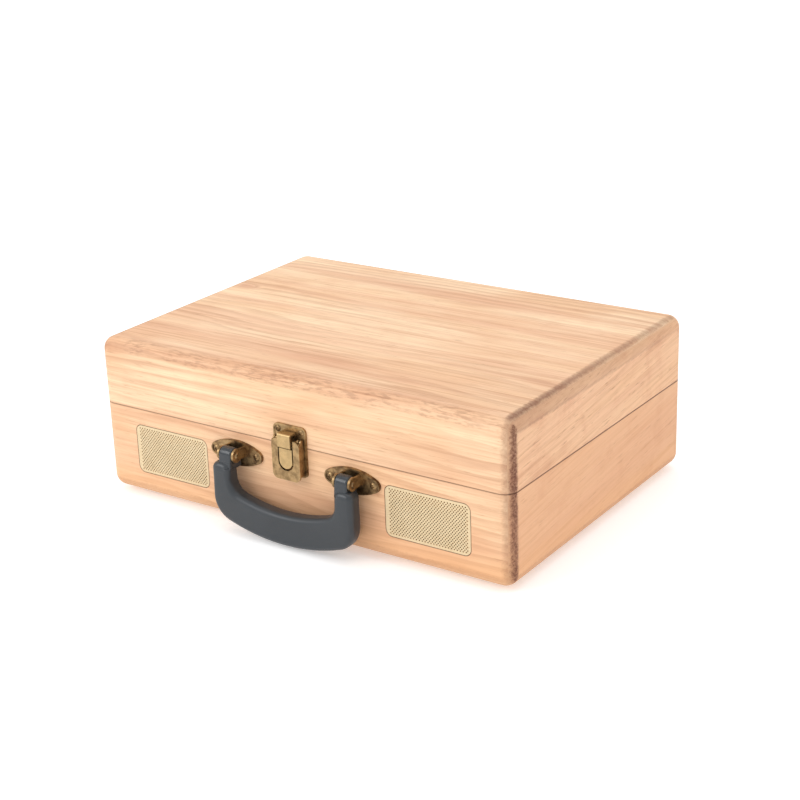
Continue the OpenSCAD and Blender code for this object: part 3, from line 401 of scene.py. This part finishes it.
def edge_stain(g, place, x, y, z, fibres):
    """Brown stain rubbed into the case's rounded edges, strongest on the front right one."""
    # how far a point is into each rounding: sides, front and back, top, bottom
    ex = g.sub(g.size(x), CASE_W / 2 - EDGE_R)
    ey = g.sub(g.size(y), CASE_D / 2 - EDGE_R)
    ez = g.sub(z, LID_HI[2] - EDGE_R)
    eb = g.sub(CASE_LO[2] + EDGE_R, z)
    speck = g.noise(place, 620.0, 4.0, 0.7)
    ragged = g.mul(g.sub(g.noise(place, 330.0, 5.0, 0.75), 0.5), 0.0050)
    patchy = g.noise(place, 30.0, 3.0, 0.6)

    def on(distance, start, wide=0.0013):
        """1 past start, with a ragged border so wide to each side."""
        return g.step(g.add(distance, ragged), start - wide, start + wide)

    right = g.step(x, 0.0, 0.01)
    toward_front = g.step(y, CASE_D / 2, -CASE_D / 2, smooth=False)
    corner = g.mul(right, g.step(y, 0.01, -0.01))

    # the four upright corners
    pale_part = g.mul(on(ex, 0.0034, 0.0022), on(ey, 0.0010))
    dark_part = g.mul(on(ex, 0.0074, 0.0012), on(ey, 0.0004, 0.0016))
    dark_part = g.mul(dark_part, g.add(0.06, g.mul(speck, 0.96)))
    upright = g.add(g.mul(pale_part, g.mul(patchy, 0.62)), dark_part)
    upright = g.mul(upright, g.add(0.10, g.mul(corner, 0.90)))

    # the lid's rim along the two sides: a line above, one below, and a tone between
    side_strength = g.add(0.42, g.mul(toward_front, 0.58))
    side_strength = g.mul(side_strength, g.add(0.45, g.mul(right, 0.55)))
    top_line = g.mul(on(ex, 0.0012, 0.0012), g.step(g.add(ex, ragged), 0.0070, 0.0040))
    top_line = g.mul(g.mul(top_line, g.step(ey, 0.005, -0.001)), on(ez, 0.0010))
    low_line = g.step(g.size(g.add(ez, g.mul(ragged, 0.5))), 0.0016, 0.0004)
    low_line = g.mul(low_line, on(ex, 0.0070))
    between = g.mul(on(ex, 0.0030), on(ez, -0.0005))
    rim = g.add(g.mul(top_line, 0.56), g.mul(between, 0.26))
    rim = g.mul(g.add(rim, g.mul(low_line, 0.16)), side_strength)

    # the front top edge, and the edges under the case
    mottle = g.step(fibres(120.0, 620.0, 3.0, 0.6), 0.44, 0.62)
    front_top = g.mul(on(ey, 0.0000, 0.0040), on(ez, 0.0018))
    front_top = g.mul(front_top, g.mul(mottle, g.step(patchy, 0.30, 0.55)))
    under = g.most(g.mul(on(ex, 0.002), on(eb, 0.001)), g.mul(on(ey, 0.002), on(eb, 0.001)))

    stain = g.most(upright, rim)
    stain = g.most(stain, g.mul(front_top, 0.30))
    stain = g.most(stain, g.mul(under, 0.20))
    return g.least(g.mul(stain, g.add(0.70, g.mul(speck, 0.60))), 1.0)


def grille_gap_shade(g, x, z):
    """1 on the outline of the two grilles, seen from the front, where the shade in the gap round
    them is painted.
    """
    lo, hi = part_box("grille_right")
    half = Vector(((hi[0] - lo[0]) / 2 - GRILLE_R, (hi[2] - lo[2]) / 2 - GRILLE_R))
    dx = g.sub(g.size(g.sub(g.size(x), (lo[0] + hi[0]) / 2)), half[0])
    dz = g.sub(g.size(g.sub(z, (lo[2] + hi[2]) / 2)), half[1])
    distance = g.sub(g.length(g.most(dx, 0.0), g.most(dz, 0.0)), GRILLE_R)
    return g.step(g.size(distance), GAP_FAR, GAP_NEAR)


def antique_bronze(name="antique_bronze", bright=0.0):
    """Brown bronze plating, darker in patches, with a painted highlight where it stands proud of
    the case front.
    """
    g = Graph(name)
    place = g.coords.outputs["Object"]
    x, y, z = g.split(place)
    patina = g.noise(place, 210.0, 4.0, 0.6)
    grain = g.noise(place, 1500.0, 2.0, 0.5)
    brushed = g.noise(g.join(g.mul(x, 3000.0), g.mul(y, 600.0), g.mul(z, 300.0)), 1.0, 2.0)
    # painted highlight: parts standing forward of the case front are lightened, more so as bright
    # rises
    proud = g.step(y, CASE_LO[1] - 0.5 * MM, CASE_LO[1] - 7.5 * MM)
    painted_highlight = g.add(g.mul(proud, 0.10 + 0.45 * bright), bright * 0.15)
    colour = g.mix(g.step(patina, 0.34, 0.66), srgb(104, 80, 54), srgb(168, 138, 98))
    colour = g.mix(g.least(painted_highlight, 1.0), colour, srgb(214, 184, 132))
    colour = g.mix(g.mul(g.step(grain, 0.52, 0.8), 0.30), colour, srgb(84, 60, 38))
    g.bump(g.add(g.mul(grain, 0.5), g.mul(brushed, 0.5)), 0.15, 0.0002)
    return g.finish(colour, g.add(0.27, g.mul(patina, 0.20)), Metallic=0.9)


def charcoal_plastic():
    """Dark slate moulded plastic with a fine leather-like grain."""
    g = Graph("charcoal_plastic")
    place = g.coords.outputs["Object"]
    _, _, z = g.split(place)
    cells = g.voronoi(place, 1100.0)
    tone = g.noise(place, 60.0, 3.0, 0.5)
    colour = g.mix(tone, srgb(33, 38, 43), srgb(46, 51, 56))
    polished = g.step(z, HANDLE_HI[2] - 14 * MM, HANDLE_HI[2] - 9 * MM)
    g.bump(g.add(cells, g.mul(tone, 0.4)), 0.16, 0.0003)
    rough = g.sub(g.add(0.34, g.mul(tone, 0.12)), g.mul(polished, 0.16))
    return g.finish(colour, rough, Specular_IOR_Level=0.55)


def gold_mesh():
    """Champagne lacquer on perforated steel."""
    g = Graph("gold_mesh")
    place = g.coords.outputs["Object"]
    tone = g.noise(place, 90.0, 3.0, 0.6)
    colour = g.mix(tone, srgb(204, 180, 140), srgb(224, 204, 168))
    g.bump(g.noise(place, 2500.0, 2.0), 0.08, 0.0001)
    return g.finish(colour, g.add(0.38, g.mul(tone, 0.15)), Metallic=0.35)


def plain(name, dark, light, rough, grain=900.0, **fixed):
    """A surface with a little tone variation and a fine grain."""
    g = Graph(name)
    place = g.coords.outputs["Object"]
    tone = g.noise(place, 45.0, 4.0, 0.6)
    fine = g.noise(place, grain, 2.0, 0.6)
    colour = g.mix(g.add(g.mul(tone, 0.7), g.mul(fine, 0.3)), dark, light)
    g.bump(fine, 0.1, 0.0002)
    return g.finish(colour, g.add(rough - 0.06, g.mul(fine, 0.12)), **fixed)


def turned(name, dark, light, rough, centre, **fixed):
    """Lathe-turned metal: fine rings about an upright axis through centre."""
    g = Graph(name)
    x, y, z = g.split(g.coords.outputs["Object"])
    radius = g.length(g.sub(x, centre[0]), g.sub(y, centre[1]))
    rings = g.noise(g.join(g.mul(radius, 3800.0), g.mul(z, 2200.0), 0.0), 1.0, 2.0)
    colour = g.mix(rings, dark, light)
    g.bump(rings, 0.10, 0.0001)
    return g.finish(colour, g.add(rough - 0.05, g.mul(rings, 0.12)), **fixed)


def felt():
    """Dark grey fibres of the slip mat."""
    g = Graph("mat_felt")
    place = g.coords.outputs["Object"]
    fibre = g.noise(place, 1400.0, 3.0, 0.7)
    tone = g.noise(place, 80.0, 3.0, 0.5)
    colour = g.mix(g.add(g.mul(fibre, 0.6), g.mul(tone, 0.4)), srgb(26, 26, 28), srgb(58, 58, 62))
    g.bump(fibre, 0.5, 0.0006)
    return g.finish(colour, 0.95, Sheen_Weight=0.4, Sheen_Roughness=0.5)


def circuit():
    """Green board with paler tracks."""
    g = Graph("board_green")
    place = g.coords.outputs["Object"]
    tracks = g.step(g.voronoi(place, 420.0, "DISTANCE_TO_EDGE"), 0.03, 0.06)
    colour = g.mix(tracks, srgb(40, 110, 62), srgb(14, 66, 34))
    return g.finish(colour, 0.35)


def spindle_centre():
    lo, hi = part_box("spindle")
    return (lo[0] + hi[0]) / 2, (lo[1] + hi[1]) / 2


def finish_nodes():
    """Gives every CAD node the material of its slot in the record."""
    makers = {
        "pine": pine(),
        "rubber_black": plain("rubber_black", srgb(22, 22, 23), srgb(38, 38, 40), 0.75),
        "antique_bronze": antique_bronze(),
        "charcoal_plastic": charcoal_plastic(),
        "gold_mesh": gold_mesh(),
        "speaker_black": plain("speaker_black", srgb(18, 18, 19), srgb(34, 34, 36), 0.6),
        "black_plastic": plain("black_plastic", srgb(24, 24, 26), srgb(36, 36, 39), 0.48, 1600.0),
        "bright_steel": plain(
            "bright_steel", srgb(150, 150, 154), srgb(196, 196, 200), 0.3, 1800.0, Metallic=1.0
        ),
        "satin_aluminium": turned(
            "satin_aluminium",
            srgb(176, 177, 180),
            srgb(214, 215, 218),
            0.32,
            spindle_centre(),
            Metallic=1.0,
        ),
        "mat_felt": felt(),
        "brass": plain("brass", srgb(166, 128, 58), srgb(212, 176, 98), 0.28, 1800.0, Metallic=1.0),
        "board_green": circuit(),
        "stylus_red": plain("stylus_red", srgb(150, 20, 16), srgb(186, 32, 26), 0.3),
    }
    slots = {s["node"]: s["material_slot"] for s in frame["record"]["subparts"]}
    # lighter copies of the bronze with stronger painted highlights, for the latch's lever, keeper
    # and link
    lit_bronze = antique_bronze("highlit_bronze", 0.10)
    brightly_lit_bronze = antique_bronze("strongly_highlit_bronze", 0.75)
    others = {"latch_lever": lit_bronze, "latch_keeper": brightly_lit_bronze, "latch_link": brightly_lit_bronze}
    for name, node in NODES.items():
        node.data.materials.clear()
        node.data.materials.append(others.get(name) or makers[slots[name]])


def soften(name):
    """Rounds a CAD node's sharp edges with a bevel modifier."""
    node = NODES[name]
    bevel = node.modifiers.new("soft_edges", "BEVEL")
    bevel.width = SOFT_EDGE
    bevel.segments = BEVEL_STEPS
    bevel.limit_method = "ANGLE"
    bevel.angle_limit = BEVEL_ANGLE
    bevel.harden_normals = False


def mesh_piece(name, rings, faces, material, body):
    """A mesh object from rings of points and faces of point numbers, riding on a body."""
    mesh = bpy.data.meshes.new(name)
    mesh.from_pydata([tuple(p) for ring in rings for p in ring], [], faces)
    mesh.materials.append(material)
    work = bmesh.new()
    work.from_mesh(mesh)
    bmesh.ops.recalc_face_normals(work, faces=work.faces)
    work.to_mesh(mesh)
    work.free()
    mesh.shade_smooth()
    piece = bpy.data.objects.new(name, mesh)
    bpy.context.collection.objects.link(piece)
    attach(piece, body)
    return piece


def bands(count, around, closed=False):
    """Quads that join count rings of around points each, one after another."""
    quads = []
    for ring in range(count if closed else count - 1):
        low, high = ring * around, (ring + 1) % count * around
        for i in range(around):
            j = (i + 1) % around
            quads.append((low + i, low + j, high + j, high + i))
    return quads


def rounded_section(centre, across, half_w, half_t, soft, steps=7):
    """Ring of points: a rounded rectangle, half_w along across and half_t along Y."""
    soft = min(soft, half_w * 0.95, half_t * 0.95)
    ring = []
    for quarter, (sx, sy) in enumerate(((1, 1), (-1, 1), (-1, -1), (1, -1))):
        for k in range(steps + 1):
            turn = math.radians(90 * quarter + 90 * k / steps)
            u = sx * (half_w - soft) + soft * math.cos(turn)
            v = sy * (half_t - soft) + soft * math.sin(turn)
            ring.append(centre + across * u + Vector((0, v, 0)))
    return ring


def arc(centre, radius, start, end, steps):
    """Points in the XZ plane, from angle start to angle end (0 is +X, 90 is +Z)."""
    turns = [math.radians(start + (end - start) * k / steps) for k in range(steps + 1)]
    return [centre + Vector((math.cos(t), 0, math.sin(t))) * radius for t in turns]


def handle_moulding(material):
    """The grip and its two arms: a bowed grip, round corners and shoulders under the lugs."""
    mid_y = HANDLE_HI[1] - LUG_R - GRIP_OFFSET
    mid = Vector(((HANDLE_LO[0] + HANDLE_HI[0]) / 2, mid_y, 0))
    half = (HANDLE_HI[0] - HANDLE_LO[0]) / 2
    shoulder = HANDLE_HI[2] - LUG_R - SHOULDER_DROP
    bow = mid + Vector((0, 0, HANDLE_LO[2] + GRIP_BOW))

    def side(radius, edge, corner):
        """Outline from the middle of the grip to the shoulder: bow, corner and arm."""
        reach = radius - corner
        turn = math.degrees(math.asin((edge - corner) / reach))
        heart = bow + Vector((edge - corner, 0, -reach * math.cos(math.radians(turn))))
        grip = arc(bow, radius, -90, -90 + turn, BOW_STEPS)
        bend = arc(heart, corner, -90 + turn, 0, CORNER_STEPS)
        foot = bend[-1]
        climb = (shoulder - foot.z) / ARM_STEPS
        arm = [Vector((foot.x, mid.y, foot.z + climb * k)) for k in range(1, ARM_STEPS + 1)]
        return grip + bend[1:] + arm

    outer = side(GRIP_BOW, half, CORNER_R)
    inner = side(GRIP_BOW - GRIP_H, half - ARM_W, HOLLOW_R)
    rings = []
    for a, b in zip(outer[:-1], inner[:-1]):
        across, half_w = (a - b).normalized(), (a - b).length / 2
        rings.append(rounded_section((a + b) / 2, across, half_w, GRIP_T / 2, GRIP_SOFT))
    top = (outer[-1] + inner[-1]) / 2
    right = Vector((1, 0, 0))
    for k in range(1, SHOULDER_STEPS + 1):
        turn = math.radians(90 * k / SHOULDER_STEPS)
        rise, inset = SHOULDER_R * math.sin(turn), SHOULDER_R * (1 - math.cos(turn))
        centre = top + Vector((0, 0, rise - SHOULDER_R * 0.55))
        half_w, half_t = ARM_W / 2 - inset, GRIP_T / 2 - inset * 0.8
        rings.append(rounded_section(centre, right, half_w, half_t, GRIP_SOFT))
    around = len(rings[0])
    left = [[Vector((2 * mid.x - p.x, p.y, p.z)) for p in ring] for ring in rings[:0:-1]]
    rings = left + rings
    faces = bands(len(rings), around)
    faces.append(tuple(range(around)))
    faces.append(tuple(range((len(rings) - 1) * around, len(rings) * around)))
    return mesh_piece("handle_moulding", rings, faces, material, "carry_handle")


def handle_lug(name, x, material):
    """Lug at one end of the handle: round over its pin, and running down into the arm."""
    pivot = Vector((x, HANDLE_HI[1] - LUG_R, HANDLE_HI[2] - LUG_R))
    down = SHOULDER_DROP + 3 * MM

    def reach(turn, size):
        """Distance from the pin's axis to the lug's outline in one direction of the YZ plane."""
        c, s = math.cos(turn), math.sin(turn)
        if s >= 0:
            return size
        walls = ((1, 0.18, size), (-1, 0.12, size), (0, -1, down))
        return min(d / (ny * c + nz * s) for ny, nz, d in walls if ny * c + nz * s > 1e-6)

    turns = [2 * math.pi * i / LUG_AROUND for i in range(LUG_AROUND)]
    profile = []
    for k in range(LUG_STEPS + 1):
        t = math.radians(90 * k / LUG_STEPS)
        inset = LUG_EDGE * (1 - math.cos(t))
        profile.append((-LUG_W / 2 + LUG_EDGE * (1 - math.sin(t)), inset))
    stations = profile[::-1] + [(-dx, inset) for dx, inset in profile]
    rings = []
    for dx, inset in stations:
        ring = []
        for turn in turns:
            far = reach(turn, LUG_R - inset)
            ring.append(pivot + Vector((dx, far * math.cos(turn), far * math.sin(turn))))
        rings.append(ring)
    bore = [(HANDLE_PIN_R * math.cos(t), HANDLE_PIN_R * math.sin(t)) for t in turns]
    for dx in (-stations[0][0], stations[0][0]):
        rings.append([pivot + Vector((dx, y, z)) for y, z in bore])
    faces = bands(len(rings), LUG_AROUND, closed=True)
    return mesh_piece(name, rings, faces, material, "carry_handle")


def make_handle():
    """The handle's moulding and two lugs, in place of the CAD handle."""
    plastic = NODES["handle"].data.materials[0]
    mid = (HANDLE_LO[0] + HANDLE_HI[0]) / 2
    pieces = [
        handle_moulding(plastic),
        handle_lug("handle_lug_left", mid - LUG_X, plastic),
        handle_lug("handle_lug_right", mid + LUG_X, plastic),
    ]
    for piece in pieces:
        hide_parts("handle")


make_camera()
make_studio()
finish_nodes()
make_handle()
for part in SOFT_NODES:
    soften(part)
